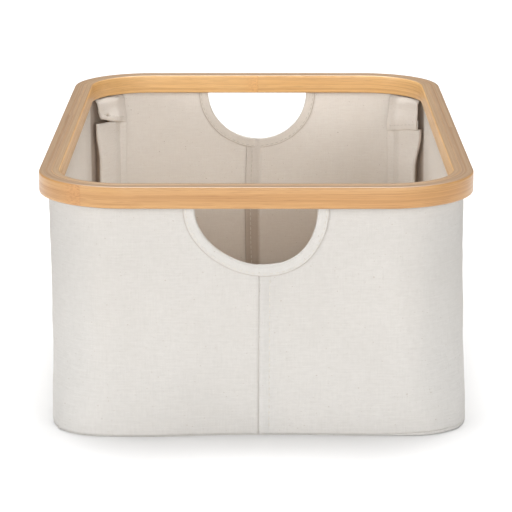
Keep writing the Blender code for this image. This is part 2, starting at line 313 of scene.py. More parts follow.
def canvas_material(name, light, dark, weave=0.55 * MM, slubs=1.0, face_tone="upper"):
    """Undyed plain-weave canvas: crossing threads, slubs both ways and a few husk flecks.

    It is darkened by painted shade: the tone called "shade", and face_tone on one face of the bag.
    """
    m = Shader(name)
    x, y, _ = m.split(m.where)
    u = m.add(m.mul(x, pi / weave), m.waver(0.9, 420, 60, 60, 1))
    v = m.add(m.mul(y, pi / weave), m.waver(0.9, 60, 420, 60, 1))
    warp = m.math("ABSOLUTE", m.math("SINE", m.add(u, pi / 4)))
    weft = m.math("ABSOLUTE", m.math("SINE", m.add(v, pi / 4)))
    warp_on_top = m.ramp(m.mul(m.math("SINE", u), m.math("SINE", v)), -0.25, 0.25)
    thread_height = m.add(m.mul(warp, warp_on_top), m.mul(weft, m.math("SUBTRACT", 1.0, warp_on_top)))
    across = m.grain(m.where, 70, 900, 200, 2, 0.6)
    upright = m.grain(m.where, 1000, 85, 200, 2, 0.6)
    slub = m.add(m.ramp(across, 0.52, 0.74, 0, 0.55 * slubs), m.ramp(upright, 0.53, 0.76, 0, 0.45 * slubs))
    thin = m.add(m.ramp(across, 0.3, 0.45, 0.5, 0), m.ramp(upright, 0.3, 0.45, 0.5, 0))
    mottle = m.grain(m.where, 190, 420, 190, 3, 0.7)
    pale = tuple(min(1.0, c * 1.1) for c in light)
    gap = tuple(c * 0.72 for c in dark)
    colour = m.layer(
        light,
        (m.ramp(m.noise(m.where, 14, 3), 0.35, 0.65, 0.0, 0.35), dark),
        (m.ramp(mottle, 0.4, 0.66, 0, 0.38), dark),
        (m.mul(thin, 0.58), dark),
        (m.mul(slub, 0.52), pale),
        (m.ramp(thread_height, 0.15, 0.8, 0.28, 0.0), gap),
        (m.ramp(m.grain(m.where, 500, 900, 500, 1, 0.4), 0.735, 0.78, 0, 0.42), HUSK),
        *((m.attribute(key, "Fac"), TONES[key]) for key in ("shade", face_tone)))
    fuzz = m.relief(m.noise(m.where, 5200), 0.05 * MM, 0.5)
    m.finish(Base_Color=colour, Roughness=m.ramp(m.noise(m.where, 90), 0.3, 0.7, 0.86, 0.96),
             Normal=m.relief(m.add(m.mul(thread_height, 0.5), m.mul(slub, 0.65)), 0.16 * MM, 0.9, fuzz),
             Sheen_Weight=0.12, Sheen_Roughness=0.5, Specular_IOR_Level=0.25)
    glow = m.node("ShaderNodeBsdfTranslucent", {"Color": m.mix(1.0, colour, THROUGH_TINT, "MULTIPLY")})
    both = m.node("ShaderNodeMixShader", {0: THROUGH, 1: m.bsdf.outputs[0], 2: glow.outputs[0]})
    m.put(both.outputs[0], m.out.inputs["Surface"])
    return m.mat


def bamboo_material(name, knuckles, joint, warmth=(1.0, 1.0, 1.0)):
    """Lacquered bamboo strip.  "cloth" holds (length along it, depth into the rim, height), in metres.

    knuckles are (arc length round the rim, side it fades to, reach in mm, strength).
    """
    def tint(*colour):
        return tuple(c * w for c, w in zip(colour, warmth))

    m = Shader(name)
    s, depth, z = m.split(m.where)
    wave = m.waver(1.4 * MM, 22, 60, 60)
    bent = m.node("ShaderNodeCombineXYZ", {0: s, 1: m.add(depth, wave), 2: m.add(z, wave)}).outputs[0]
    fine = m.grain(bent, 7, 2600, 2600, 3, 0.65)
    streak = m.grain(bent, 2.6, 620, 620, 3, 0.6)
    colour = m.layer(
        tint(0.655, 0.37, 0.148),
        (m.ramp(m.grain(bent, 1.4, 170, 170), 0.34, 0.68), tint(0.575, 0.292, 0.095)),
        (m.ramp(streak, 0.44, 0.68, 0, 0.75), tint(0.43, 0.2, 0.064)),
        (m.ramp(m.grain(m.where, 9, 20, 20), 0.35, 0.7, 0, 0.35), tint(0.69, 0.42, 0.19)),
        (m.ramp(fine, 0.48, 0.68, 0, 0.5), tint(0.34, 0.145, 0.045)),
        (m.ramp(m.grain(bent, 55, 3200, 3200, 1, 0.4), 0.62, 0.74, 0, 0.4), tint(0.28, 0.115, 0.035)))
    ridge = 0.0
    ragged = m.add(s, m.waver(1.6 * MM, 0, 500, 500, 1))
    specks = m.ramp(m.grain(m.where, 330, 1100, 1100, 3, 0.6), 0.48, 0.62)
    for at, way, reach, strength in knuckles:
        at = (at - joint) % RIM_LEN + joint
        past = m.mul(m.add(ragged, -at), way)
        glow = m.mul(m.ramp(past, 0.0, reach * MM, 1, 0, True), m.ramp(past, -0.25 * MM, 0.25 * MM))
        line = m.mul(m.ramp(past, -0.8 * MM, 0.0), m.ramp(past, 0.1 * MM, 1.2 * MM, 1, 0))
        colour = m.layer(colour,
                         (m.mul(glow, 0.6 * strength), tint(0.64, 0.315, 0.108)),
                         (m.mul(line, 0.16 * strength), tint(0.36, 0.155, 0.055)),
                         (m.mul(m.mul(glow, specks), 0.62 * strength), tint(0.37, 0.155, 0.05)))
        ridge = m.add(ridge, m.mul(m.add(m.mul(glow, 0.4), line), strength))
    to_joint = [m.math("ABSOLUTE", m.add(s, -end)) for end in (joint, joint + RIM_LEN)]
    seam = m.ramp(m.math("MINIMUM", *to_joint), 0.1 * MM, 0.38 * MM, 0.6, 0)
    # faces turned up or down, the strips' top and bottom, are greyer and darker
    facing_up = m.math("ABSOLUTE", m.split(m.node("ShaderNodeNewGeometry").outputs["Normal"])[2])
    top_bottom_colour = m.layer((0.36, 0.25, 0.16),
                       (m.ramp(streak, 0.36, 0.66), (0.27, 0.175, 0.105)),
                       (m.ramp(fine, 0.5, 0.72, 0, 0.4), (0.17, 0.105, 0.06)))
    colour = m.layer(colour, (seam, (0.25, 0.11, 0.04)),
                     (m.ramp(facing_up, 0.55, 0.95, 0, 0.88, True), top_bottom_colour))
    relief = m.relief(m.add(m.mul(fine, 0.5), m.mul(streak, 0.5)), 0.05 * MM, 0.8,
                      m.relief(ridge, 0.12 * MM, 1.0))
    return m.finish(Base_Color=colour, Roughness=m.ramp(streak, 0.3, 0.7, 0.36, 0.5), Normal=relief,
                    Coat_Weight=0.35, Coat_Roughness=0.22, Coat_IOR=1.46)


def stick_material():
    """Sanded bare wood, its grain along Z."""
    m = Shader("strut_wood_grain")
    rings = m.grain(m.where, 900, 900, 14, 3, 0.6)
    pores = m.ramp(m.grain(m.where, 2600, 2600, 70), 0.58, 0.72)
    colour = m.layer((0.6, 0.4, 0.215), (m.ramp(rings, 0.35, 0.65), (0.44, 0.265, 0.125)),
                     (m.mul(pores, 0.45), (0.25, 0.14, 0.06)))
    return m.finish(Base_Color=colour, Roughness=m.ramp(rings, 0.3, 0.7, 0.55, 0.72),
                    Normal=m.relief(m.add(rings, pores), 0.06 * MM, 0.7))


def board_material():
    """Pressed fibreboard: matted fibres with a slightly polished face."""
    m = Shader("fibreboard_pressed")
    fibres = m.noise(m.where, 1500, 3, 0.6)
    flakes = m.node("ShaderNodeTexVoronoi", {"Vector": m.where, "Scale": 420}).outputs["Distance"]
    patch = m.noise(m.where, 30)
    colour = m.layer((0.26, 0.155, 0.085), (m.ramp(fibres, 0.35, 0.65), (0.17, 0.095, 0.05)),
                     (m.ramp(flakes, 0.0, 0.45, 0.35, 0.0), (0.36, 0.235, 0.135)),
                     (m.ramp(patch, 0.4, 0.7, 0, 0.3), (0.21, 0.12, 0.06)))
    return m.finish(Base_Color=colour, Roughness=m.ramp(patch, 0.3, 0.7, 0.62, 0.8),
                    Normal=m.relief(m.add(fibres, flakes), 0.08 * MM, 0.6))


def thread_material():
    """Twisted sewing thread."""
    m = Shader("sewing_thread")
    x, y, _ = m.split(m.where)
    twist = m.math("SINE", m.add(m.mul(x, 2 * pi / (0.55 * MM)), m.mul(y, 2.0)))
    colour = m.mix(m.ramp(twist, -1, 1), (0.6, 0.54, 0.46), (0.76, 0.72, 0.65))
    return m.finish(Base_Color=colour, Roughness=m.ramp(twist, -1, 1, 0.78, 0.88),
                    Normal=m.relief(twist, 0.05 * MM, 0.8), Sheen_Weight=0.2)


TAPE_WEAVE = dict(weave=0.42 * MM, slubs=0.5)
canvas = canvas_material("canvas_weave", (0.742, 0.725, 0.697), (0.635, 0.615, 0.582))
# painted light: the bag's inner face is the same canvas as its outer face, made lighter and warmer for the
# light inside the bin
lit_inner_canvas = canvas_material("canvas_inner_face_lightened", (0.95, 0.905, 0.85), (0.87, 0.82, 0.76), face_tone="crease_shade")
cover_cloth = canvas_material("cover_weave", (0.7, 0.625, 0.545), (0.6, 0.525, 0.445))
tape_cloth = canvas_material("binding_weave", (0.712, 0.691, 0.66), (0.625, 0.599, 0.56), **TAPE_WEAVE)
# painted light: the tape's inner leaf is the same tape, made lighter and warmer
lit_tape_inner = canvas_material("binding_inner_face_lightened", (0.92, 0.87, 0.805), (0.83, 0.775, 0.705), **TAPE_WEAVE)
thread = thread_material()
OUTER_JOINT, CORE_JOINT, INNER_JOINT = 0.335, 1.02, 1.36  # where each bent strip's ends meet
outer_bamboo = bamboo_material("bamboo_outer", [
    (RIM_LEN - 0.1193, -1, 22, 1.0), (0.25, 1, 16, 0.8), (0.56, 1, 18, 0.8), (0.905, -1, 16, 0.8)],
    OUTER_JOINT, warmth=(0.82, 0.8, 0.74))
core_bamboo = bamboo_material("bamboo_core", [(0.205, 1, 14, 0.8), (0.93, -1, 16, 0.8)], CORE_JOINT)
inner_bamboo = bamboo_material("bamboo_inner", [
    (RIM_LEN / 2 - 0.001, 1, 15, 0.9), (0.148, -1, 17, 0.8), (1.085, 1, 16, 0.8)],
    INNER_JOINT, warmth=(1.31, 1.46, 1.58))
strut_wood = stick_material()
fibreboard = board_material()


# ---------- stitches
STITCH, THREAD_R = 3.1 * MM, 0.24 * MM
STITCH_STEPS, THREAD_SIDES = 6, 6
ON_FACE = 0.04 * MM  # from a cloth's face to the middle of the thread


def stitch_row(name, path, normal, body):
    """Short lengths of thread along a path on a surface, each dipping into the cloth at both ends."""
    normal = np.broadcast_to(normal, path.shape)
    lengths = path_lengths(path)
    count = int((lengths[-1] - STITCH) / STITCH_PITCH)
    margin = (lengths[-1] - count * STITCH_PITCH - STITCH) / 2
    t = np.linspace(0, 1, STITCH_STEPS + 1)
    rise = THREAD_R * (-1.3 + 1.95 * np.sin(pi * t) ** 0.6)
    girth = THREAD_R * (0.55 + 0.45 * np.sin(pi * t) ** 0.5)
    around = 2 * pi * np.arange(THREAD_SIDES) / THREAD_SIDES
    up = (rise[:, None] + girth[:, None] * np.sin(around))[..., None]
    out = (girth[:, None] * 1.15 * np.cos(around))[..., None]
    verts, faces, coords = [], [], []
    for k in range(count + 1):
        jitter = 0.18 * MM * noise.noise(Vector((k * 1.7, 3.1, lengths[-1] * 40)))
        at = margin + k * STITCH_PITCH + jitter + t * STITCH
        p, n = along_path(path, lengths, at), along_path(normal, lengths, at)
        n /= np.linalg.norm(n, axis=1, keepdims=True)
        side = np.cross(directions(p), n)
        base = len(verts)
        verts += list((p[:, None] + n[:, None] * up + side[:, None] * out).reshape(-1, 3))
        for i in range(STITCH_STEPS):
            near, far = base + i * THREAD_SIDES, base + (i + 1) * THREAD_SIDES
            for c in range(THREAD_SIDES):
                d = (c + 1) % THREAD_SIDES
                faces.append([near + c, near + d, far + d, far + c])
                coords += [(at[i], c, 0), (at[i], c + 1, 0), (at[i + 1], c + 1, 0), (at[i + 1], c, 0)]
        for ring, order in ((0, -1), (STITCH_STEPS, 1)):
            faces.append([base + ring * THREAD_SIDES + c for c in range(THREAD_SIDES)][::order])
            coords += [(at[ring], 0, 0)] * THREAD_SIDES
    obj = raw_mesh(name, verts, faces, coords, [thread])
    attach(obj, body)


# ---------- bamboo rim
def rounded_section(corners):
    """Section of a strip as (inset, height) points, each corner rounded by its own radius."""
    points = []
    for k, (x, z, r) in enumerate(corners):
        here = np.array((x, z))
        before, after = np.array(corners[k - 1][:2]), np.array(corners[(k + 1) % len(corners)][:2])
        a = (before - here) / np.linalg.norm(before - here)
        b = (after - here) / np.linalg.norm(after - here)
        steps = 5 if r > 0.5 * MM else 2
        for t in np.linspace(0, pi / 2, steps + 1):
            points.append(here + (a + b) * r - b * r * cos(t) - a * r * sin(t))
    return np.array(points)


def build_rim():
    """Two hoops with a core strip between them, glued, with a slot under the core for the bag's hem."""
    big, middling, small = 1.5 * MM, 0.5 * MM, 0.16 * MM
    core_low, core_top = RIM_LOW + 5 * MM, RIM_TOP - 0.06 * MM
    plies = {
        "rim_outer_hoop": ([(0, RIM_LOW, big), (PLY_1, RIM_LOW, middling), (PLY_1, RIM_TOP, small),
                            (0, RIM_TOP, big)], outer_bamboo, OUTER_JOINT),
        "rim_core_strip": ([(PLY_1, core_low, small), (PLY_2, core_low, small), (PLY_2, core_top, small),
                            (PLY_1, core_top, small)], core_bamboo, CORE_JOINT),
        "rim_inner_hoop": ([(PLY_2, RIM_LOW, middling), (RIM_T, RIM_LOW, big), (RIM_T, RIM_TOP, big),
                            (PLY_2, RIM_TOP, small)], inner_bamboo, INNER_JOINT),
    }
    stops = ring_stops(**RIM, bend_steps=36, straight_step=9 * MM)
    for node, (corners, mat, joint) in plies.items():
        s = np.sort(np.append((stops - joint) % RIM_LEN + joint, joint))
        place, normal = outline(s, **RIM)
        turn = 2 * pi * s / RIM_LEN
        uneven = 0.06 * MM * wander(np.cos(turn) * 3 + np.sin(turn) * 2, 1.0, 5)
        section = rounded_section(corners)
        inset, height = section[:, 0], section[:, 1]
        z = height + uneven[:, None] * (height > RIM_LOW + RIM_H / 2)
        points = np.dstack([place[:, None] - normal[:, None] * inset[:, None], z])
        long_s = np.append(s, joint + RIM_LEN)
        loop = np.append(np.arange(len(section)), 0)
        coords = np.stack(np.broadcast_arrays(long_s[:, None], inset[loop], height[loop]), -1)
        obj = grid(node + "_bamboo", points, coords, [mat], close_u=True, close_v=True, sharp=50, flip=True)
        fit(obj, "bin", node)


# ---------- canvas bag
def hole_curve(front, out=0.0, steps=90):
    """Hand hole's edge from its right end to its left as (x, z) and the direction away from the hole."""
    t = np.linspace(0, pi, steps + 1)
    x = HOLE_W * np.cos(t) + (HOLE_LEAN_FRONT if front else HOLE_LEAN_BACK) * np.sin(t) ** 2
    z = RIM_LOW - HOLE_D * np.sin(t) ** 0.98
    # both ends of the edge run on up into the rim
    up = np.array([(HOLE_W, RIM_LOW + 2.8 * MM), (HOLE_W, RIM_LOW + 1.4 * MM)])
    edge = np.concatenate([up, np.stack([x, z], 1), up[::-1] * (-1, 1)])
    tangent = directions(edge)
    away = np.stack([-tangent[:, 1], tangent[:, 0]], 1)
    return edge + away * out, away


def lean_of(z):
    """How far the bag's lower part hangs to the right of the rim."""
    return 2.1 * MM * np.clip((RIM_LOW - z) / RIM_LOW, 0, 1) ** 1.15


def corner_fill(place, z):
    """How far the bag's bends stand out low down, where its bottom is squarer than the rim."""
    r = BAG["r"]
    d = np.abs(place) - (BAG["half_w"] - r, BAG["half_d"] - r)
    bend = (d > 1e-6).all(axis=1)
    u = np.where(bend[:, None], d, 1.0)
    u = u / np.linalg.norm(u, axis=1, keepdims=True)
    low = ease(-z, -0.06, -0.002)
    target = np.full(len(place), r)
    for (sx, sy), low_r in LOW_BEND.items():
        target = np.where((place[:, 0] * sx > 0) & (place[:, 1] * sy > 0), r + (low_r - r) * low, target)
    shift = r - target
    b = shift * u.sum(axis=1)
    t = b + np.sqrt(np.maximum(b ** 2 - 2 * shift ** 2 + target ** 2, 0))
    t = np.where(t * u[:, 0] < shift, r / u[:, 1], t)
    t = np.where(t * u[:, 1] < shift, r / u[:, 0], t)
    return np.where(bend, t - r, 0.0)


def swell(s, z):
    """How far the bag's outer face stands out from its straight outline."""
    place, _ = outline(s, **BAG)
    x, y = place.T
    front = y < 0
    t = np.clip((RIM_LOW - z) / RIM_LOW, 0, 1)
    out = 0.75 * MM * t ** 2 - 0.5 * MM * np.sin(pi * t) + corner_fill(place, z)
    # the front wall's foot is pushed out by the board, but held back by its seam
    pushed = 4.6 * MM * bump(x, -0.082, 0.048) + 2.6 * MM * bump(x, 0.085, 0.042)
    out = out + pushed * (y < -0.2) * ease(-z, -0.05, -0.002)
    # slack cloth: broad waves, gentle ones, and puckers at the foot and under the rim
    broad = wander(np.stack([x + y * 1.3, z * 0.9 + x * 0.4], 1), 17, 2)
    gentle = wander(np.stack([s, z * 1.6], 1), 48, 9)
    out = out + 0.75 * MM * broad * ease(t, 0.02, 0.3) + 0.22 * MM * gentle * ease(t, 0.0, 0.12)
    out = out + 0.3 * MM * wander(s, 120, 4) * ease(z, 0.03, 0.004)
    out = out + 0.16 * MM * wander(s, 150, 11) * ease(z, 0.14, 0.158)
    # an end seam's ridge, with grooves along its edge and its topstitching
    over = np.where(front, x - SEAM_X, SEAM_X - x)
    seam = (-0.28 * MM * bump(over, -0.5 * MM, 0.9 * MM) + 0.42 * MM * bump(over, 2.6 * MM, 2.4 * MM)
            - 0.16 * MM * bump(over, TOPSTITCH, 1.1 * MM) + 0.14 * MM * bump(over, 9.5 * MM, 2 * MM))
    return out + np.where(at_end(place), seam, 0)


def at_end(place):
    return np.abs(place[:, 1]) > BAG["half_d"] - 1 * MM


def bend_weight(local, low=(8, 24), high=(70, 86)):
    """1 in the middle of a bend, 0 beyond it.  local is the place from the bend's centre, outwards."""
    angle = np.degrees(np.arctan2(local[..., 1], local[..., 0]))
    return (local > 0).all(axis=-1) * ease(angle, *low) * (1 - ease(angle, *high))


def bag_point(s, z, inset=0.0):
    """Points of the bag's outer face, or of a layer inset behind it, at arc lengths s and heights z."""
    s, z, inset = np.broadcast_arrays(*(np.asarray(a, float) for a in (s, z, inset)))
    shape = s.shape
    s, z, inset = s.ravel(), z.ravel(), inset.ravel()
    place, normal = outline(s, **BAG)
    turn = np.clip(3.2 * MM - z, 0, 2.2 * MM) / (2.4 * MM)  # the wall's rounded lower edge
    out = swell(s, z) - 0.7 * MM * (1 - np.sqrt(1 - turn ** 2)) - inset
    # both end seams run down to the left of the middle
    drift = np.where(place[:, 1] < 0, 3 * MM * np.clip((RIM_LOW - z) / RIM_LOW, 0, 1),
                     2.3 * MM * ease(-z, -0.115, -0.06)) * bump(place[:, 0], 0, 0.055)
    flat = place + normal * out[:, None]
    flat[:, 0] += lean_of(z) - drift
    # in its bends the wall can't come further in than the sleeve round the strut
    local = np.maximum(np.abs(flat) - CORNER, 0)
    r = np.maximum(np.linalg.norm(local, axis=1), 1 * MM)
    short = BEND_MIN - inset - r
    push = (short + np.sqrt(short ** 2 + (0.3 * MM) ** 2)) / 2 * bend_weight(local)
    flat += np.sign(flat) * local * (push / r)[:, None]
    return np.column_stack([flat, z]).reshape(shape + (3,))


def fine_stops(low, high, coarse, spots):
    """Numbers from low to high, coarse apart, with more near the spots, given as (place, reach, step)."""
    stops = set(np.round(np.linspace(low, high, max(2, round((high - low) / coarse) + 1)), 6))
    for place, reach, step in spots:
        stops |= set(np.round(np.arange(max(low, place - reach), min(high, place + reach), step), 6))
    stops = np.array(sorted(stops))
    keep = np.concatenate([[True], np.diff(stops) > 0.12 * MM])
    keep[-1] = True
    return stops[keep]


CUT_EDGE = 1.3 * MM  # from the binding's fold to the walls' cut edge


def wall_top(place):
    """Height of the walls' upper edge: in the rim, or at a hand hole inside the binding."""
    x = place[:, 0]
    top = np.full(len(x), HEM_TOP)
    for front in (True, False):
        edge, _ = hole_curve(front, out=CUT_EDGE)
        xs, zs = edge[np.argsort(edge[:, 0], kind="stable")].T
        inside = at_end(place) & ((place[:, 1] < 0) == front) & (x > xs[0]) & (x < xs[-1])
        top = np.where(inside, np.interp(x, xs, zs), top)
    return top


def foot_height(place):
    """Height of the walls' lower edge, sewn a little higher round the front right bend."""
    return FOOT + 2.3 * MM * np.exp(-np.sum((place - (0.128, -0.212)) ** 2, axis=1) / 0.034 ** 2)


def wall_stops(s0, s1):
    """Arc lengths along a wall panel, closer together at the seams and at the hand holes' ends."""
    ends = (0, BAG_LEN / 2, BAG_LEN)
    hole = [HOLE_W + CUT_EDGE - 9 * MM * (1 - cos(t)) for t in np.linspace(0, pi / 2, 10)]
    spots = [(at + e, 9 * MM, 0.7 * MM) for at in ends for e in (SEAM_X, -SEAM_X)]
    spots += [(at + way * h, 0.1 * MM, 0.2 * MM) for at in ends for way in (-1, 1) for h in hole]
    return fine_stops(s0, s1, 3.4 * MM, spots)


def wall_tones(obj, s, z, points, seam_end):
    """Painted shade on a wall: over its lapped cloth, along its raw edges and foot (with their own darker
    tone), in its bends, low inside and towards its top outside.
    """
    # painted shade: the lapped band lets less light through, and is darker still low down
    lap_shade = ease(s, seam_end - 1 * MM, seam_end + 1.5 * MM)[:, None]
    lap_shade = lap_shade * (0.14 + 0.36 * ease(-z, -0.09, -0.045))
    # the seam's raw edge and the foot's seam line: their own darker tone plus painted shade
    edges = 0.06 * (1 - ease(s, s[0], s[0] + 0.7 * MM))[:, None]
    edges = edges + 0.1 * (1 - ease(z - z[:, :1], 0.2 * MM, 1.2 * MM))
    tone(obj, np.clip(lap_shade + edges, 0, 0.7))
    # painted shade on the inner face: in the bends' crevices behind the sleeves, and darker towards the
    # bottom
    folded = bend_weight(np.abs(points[..., :2]) - CORNER, (18.5, 22), (50, 60))
    tone(obj, 0.58 * folded + 0.26 * ease(-z, -0.088, -0.048), "crease_shade")
    # painted shade: the outer face darker towards the top, under the rim
    tone(obj, 0.19 * ease(z, 0.0, 0.13), "upper")


def build_walls():
    half = BAG_LEN / 2
    panels = {
        # name: arc lengths of its outer edge, of its neighbour's edge, and of its own end behind that
        "right_wall_panel": (SEAM_X, half - SEAM_X, half - SEAM_X + LAP),
        "left_wall_panel": (half - SEAM_X, BAG_LEN + SEAM_X, BAG_LEN + SEAM_X + LAP),
    }
    share = np.concatenate([np.linspace(0, 0.045, 11)[:-1], np.linspace(0.045, 1, 46)])
    for name, (s0, seam_end, s1) in panels.items():
        s = wall_stops(s0, s1)
        place, _ = outline(s, **BAG)
        foot, top = foot_height(place)[:, None], wall_top(place)[:, None]
        z = foot + (top - foot) * share
        behind = ease(s, seam_end - 0.8 * MM, seam_end + 0.6 * MM) * (CANVAS + 0.15 * MM)
        curl = 0.35 * MM * (1 - ease(s, s0, s0 + 0.9 * MM))
        points = bag_point(s[:, None], z, (behind + curl)[:, None])
        coords = np.dstack([np.broadcast_to(s[:, None], z.shape), z, 0 * z])
        obj = grid(name + "_cloth", points, coords, [canvas, lit_inner_canvas])
        wall_tones(obj, s, z, points, seam_end)
        thicken(obj, CANVAS, -1, back=1)
        fit(obj, "bin", name)


def build_bottom():
    """Bottom panel with a narrow welt round its edge, where it is sewn to the walls."""
    s = ring_stops(**BAG, bend_steps=30, straight_step=5 * MM)
    place, normal = outline(s, **BAG)
    lift = 0.15 * MM * (1 + wander(s, 26, 8))
    # (inset in mm, share of the walls' foot height)
    welt = [(2.2, 1.00), (1.4, 0.98), (0.7, 0.92), (0.35, 0.75), (0.25, 0.5), (0.45, 0.24), (1.0, 0.07),
            (2.0, 0.02), (3.4, 0.0), (6, 0.0)]
    out = swell(s, np.full(len(s), 4.5 * MM))
    rows = []
    for inset, share in welt:
        p = place + normal * (out - inset * MM)[:, None]
        z = share * foot_height(place) + lift * (0.4 if share > 0 else 0.3)
        rows.append(np.column_stack([p[:, 0] + lean_of(0), p[:, 1], z]))
    rim = rows[-1]
    centre = np.array([lean_of(0), 0.0])
    for t in np.append(np.linspace(0.03, 0.92, 26), 0.985):
        flat = centre + (rim[:, :2] - centre) * (1 - t)
        wavy = 0.05 * MM * (1 + wander(flat, 30, 6)) * ease(t, 0.0, 0.1)
        rows.append(np.column_stack([flat, wavy]))
    points = np.stack(rows, 1)
    obj = grid("bottom_panel_cloth", points, points * (1, 1, 0), [canvas, lit_inner_canvas], close_u=True, flip=True)
    thicken(obj, CANVAS, -1, back=1)
    fit(obj, "bin", "bottom_panel")


def end_face(sy, x, z, out):
    """A point a distance out from the bag's outer face on the front (-1) or back (1) end."""
    s = np.where(sy < 0, x, BAG_LEN / 2 - x)
    return bag_point(s, z) + np.array([0.0, sy, 0.0]) * np.asarray(out)[..., None]


# the tape's outer leaf, as distances in mm from the hole's edge
LEAF = [8.1, 7.9, 7.4, 6.6, 5.7, 4.5, 3.2, 2.4, 1.9]
FOLD_STEPS = 8
TAPE_STITCH = 6.6


def tape_rows(length, stack, front):
    """Rows of the folded tape across its width, as (distance from the hole's edge, distance outwards)."""
    ripple = wander(length, 210, 3 if front else 13)
    sway = wander(length, 60, 21 if front else 23)
    rows = []
    for n in LEAF:
        pinch = -0.16 * bump(n, TAPE_STITCH, 0.7) + 0.1 * bump(n, 4.5, 2.2) - (0.1 if n > 8 else 0)
        rows.append(((n + 0.22 * sway * (n > 6)) * MM,
                     (0.42 + pinch + 0.1 * ripple * bump(n, 4.5, 3.0)) * MM))
    r = stack / 2 + 0.42 * MM
    for k in range(1, FOLD_STEPS):
        a = pi * k / FOLD_STEPS
        rows.append((LEAF[-1] * MM - np.minimum(r, CUT_EDGE) * sin(a), -stack / 2 + r * cos(a)))
    for n in LEAF[::-1]:
        pinch = 0.14 * bump(n, TAPE_STITCH, 0.7) + (0.1 if n > 8 else 0)
        rows.append(((n + 0.25 * sway * (n > 6)) * MM, -stack + (-0.42 + pinch) * MM))
    return rows


def build_binding(label, sy):
    """Tape folded over a hand hole's cut edge and sewn through."""
    front = sy < 0
    edge, away = hole_curve(front, steps=150)
    length = path_lengths(edge)
    x = edge[:, 0] * (1 if front else -1)
    # inside, the tape also covers the lapped half of the seam
    lap = ease(x, 1 * MM, 4 * MM) * (1 - ease(x, 13 * MM, 16.5 * MM))
    stack = CANVAS + 0.2 * MM + lap * 1.1 * MM
    rows = tape_rows(length, stack, front)
    points = np.empty((len(edge), len(rows), 3))
    for k, (n, out) in enumerate(rows):
        n, out = np.broadcast_to(n, len(edge)), np.broadcast_to(out, len(edge))
        flat = edge + away * n[:, None]
        # the tape's ends run up into the rim's slot, but no further than this
        points[:, k] = end_face(sy, flat[:, 0], np.minimum(flat[:, 1], RIM_LOW + 3.2 * MM), out)
    width = path_lengths(points[len(edge) // 2])
    coords = np.stack(np.broadcast_arrays(length[:, None], width, 1.0), -1)
    obj = grid(label + "_hole_binding_tape", points, coords, [tape_cloth, lit_tape_inner])
    inside = np.arange(len(rows) - 1) > len(LEAF) + FOLD_STEPS / 2 - 1
    obj.data.polygons.foreach_set("material_index", np.tile(inside, len(edge) - 1).astype(np.int32))
    # the tape's edges: partly their own darker raw edge, partly painted shade where they are sewn down
    raw_edge_and_shade = np.zeros(len(rows))
    raw_edge_and_shade[[0, 1, -2, -1]] = 0.62, 0.25, 0.25, 0.62
    tone(obj, np.broadcast_to(raw_edge_and_shade, (len(edge), len(rows))))
    thicken(obj, TAPE, 0)
    fit(obj, "bin", label + "_hole_binding")
    sewn = edge + away * TAPE_STITCH * MM
    keep = sewn[:, 1] < RIM_LOW + 1 * MM
    for side, face, level in (("outer", sy, np.full(keep.sum(), TAPE)), ("inner", -sy, -TAPE - stack[keep])):
        path = end_face(sy, sewn[keep][:, 0], sewn[keep][:, 1], level)
        stitch_row(f"{label}_binding_stitches_{side}", path, (0, face, 0), "bin")


def build_end_seam(label, sy):
    """Topstitching beside an end seam, on both faces, from the binding down to the bottom."""
    front = sy < 0
    middle = SEAM_X - sy * TOPSTITCH
    edge, _ = hole_curve(front, out=TAPE_W + 0.6 * MM)
    edge = edge[np.argsort(edge[:, 0])]
    z = np.linspace(float(np.interp(middle, edge[:, 0], edge[:, 1])), 4.6 * MM, 160)
    x = middle + 0.25 * MM * wander(z, 40, 31 if front else 33)
    for side, out, face in (("outer", 0.03 * MM, sy), ("inner", -2.3 * MM, -sy)):
        path = end_face(sy, x, z, np.full(len(z), out))
        stitch_row(f"{label}_seam_stitches_{side}", path, (0, face, 0), "bin")


# ---------- corner supports
STRUT_AT = 45.0  # a strut's direction from its corner's centre, in degrees
SLEEVE_LOW = 12.4 * MM
SLEEVE_TOP = {"front_left": 0.1395, "front_right": 0.1395, "back_left": 0.139, "back_right": 0.1345}
# how far each sleeve's fold has drawn in high up and low down, in mm, and the heights between
FOLD_PULL = {"front_left": (1.0, 4.0, 0.132, 0.07), "front_right": (1.0, 3.5, 0.13, 0.075),
             "back_left": (3.1, 6.0, 0.132, 0.108), "back_right": (0.1, 5.0, 0.13, 0.1)}


def polar(r, angle):
    a = np.radians(angle)
    return np.stack([r * np.cos(a), r * np.sin(a)], -1)


def sleeve_plan(pull=0.0):
    """Plan of a sleeve about its corner's centre: along the wall, round a fold and back over the strut.

    pull is how far the fold has drawn in from the side wall towards the strut.
    """
    on_wall, tail = 53.6 * MM, 52.2 * MM
    strut = polar(STRUT_R, STRUT_AT)
    reach = STRUT_D / 2 + 0.9 * MM
    fold = np.array([48.2 * MM - pull, 18.6 * MM + 0.2 * pull]) + polar(1.3 * MM, np.linspace(10, -180, 14))

    def tangent(point):
        """Direction in which a line from the point touches the cloth round the strut, on its inner side."""
        d = np.array(point) - strut
        middle = degrees(atan2(d[1], d[0]))
        spread = degrees(acos(reach / np.hypot(*d)))
        return min(((middle + spread) % 360, (middle - spread) % 360), key=lambda a: abs(a - 180 - STRUT_AT))

    end = polar(tail, 57.0)
    over = strut + polar(reach, np.linspace(tangent(fold[-1]), tangent(end), 12))
    return np.concatenate([polar(on_wall, np.linspace(64, 29, 30)), fold, over, [end],
                           polar(tail, np.linspace(59, 64, 4))])


